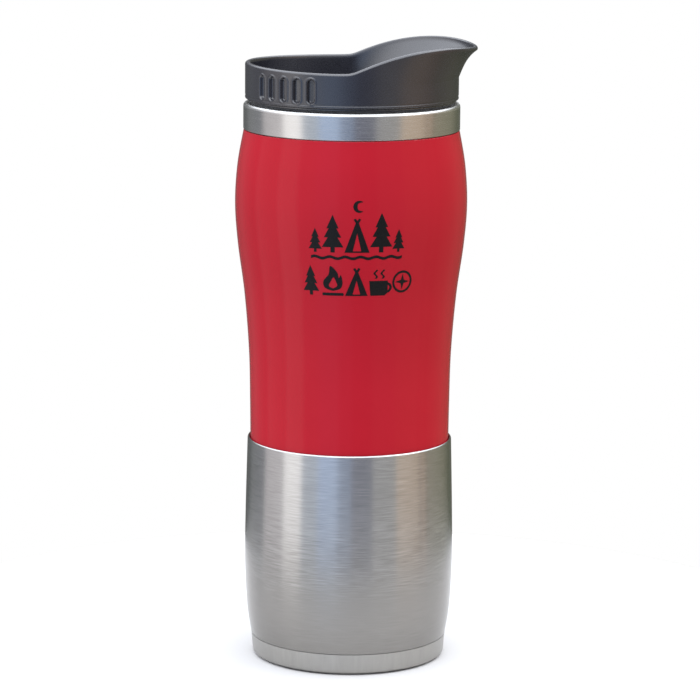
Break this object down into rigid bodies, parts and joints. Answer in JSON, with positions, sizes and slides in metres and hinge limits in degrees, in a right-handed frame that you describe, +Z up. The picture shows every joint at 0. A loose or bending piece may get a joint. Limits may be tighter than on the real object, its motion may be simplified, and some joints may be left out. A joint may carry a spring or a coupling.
{
  "type": "vacuum flask",
  "caption": "Waisted double-wall steel travel mug with a red gloss sleeve, brushed steel base and a black screw-on lid with a drinking spout and flip lever.",
  "frame": {"origin": "centre of the foot pad's underside, on the mug's axis, at the surface it stands on", "axes": "+Z up along the mug's axis to the lid, +X towards the drinking spout, -Y the side seen in the picture"},
  "size_m": [0.0779, 0.075, 0.2015],
  "materials": {
    "base_steel": "brushed round the body, satin",
    "liner_steel": "satin, electropolished",
    "collar_steel": "polished",
    "solder": "matt grey sealing bead",
    "getter_alloy": "sintered, matt",
    "red_plastic": "high gloss",
    "black_plastic": "fine satin texture",
    "spacer_plastic": "natural, unpainted",
    "silicone": "matt silicone",
    "print_ink": "black screen print",
    "foot_rubber": "matt"
  },
  "bodies": {
    "flask": {"inner_liner": "liner_steel", "vacuum_jacket": "collar_steel", "jacket_base": "liner_steel", "tip_off_seal": "solder", "getter_pellet": "getter_alloy", "getter_clip": "liner_steel", "red_sleeve": "red_plastic", "base_shell": "base_steel", "bottom_cap": "base_steel", "seam_spacer": "spacer_plastic", "base_spacer": "spacer_plastic", "foot_pad": "foot_rubber"},
    "seal_ring": {"lid_seal": "silicone"},
    "lid": {"lid_shell": "black_plastic", "lid_plug": "black_plastic", "duct_seal": "silicone", "lever_pin": "collar_steel"},
    "lever": {"flip_lever": "black_plastic", "drink_stopper": "silicone", "vent_stopper": "silicone"}
  },
  "joints": [
    {"name": "lid_lift", "type": "slide", "parent": "flask", "child": "seal_ring", "axis": [0, 0, 1], "range_m": [0, 0.018]},
    {"name": "lid_turn", "type": "hinge", "parent": "seal_ring", "child": "lid", "pos_m": [0, 0, 0.1829], "axis": [0, 0, 1], "range_deg": [0, 810]},
    {"name": "lever_flip", "type": "hinge", "parent": "lid", "child": "lever", "pos_m": [-0.003, 0, 0.1876], "axis": [0, -1, 0], "range_deg": [0, 170]}
  ],
  "couplings": [
    {"joint": "lid_lift", "follows": "lid_turn", "m_per_rad": 0.0012732}
  ]
}
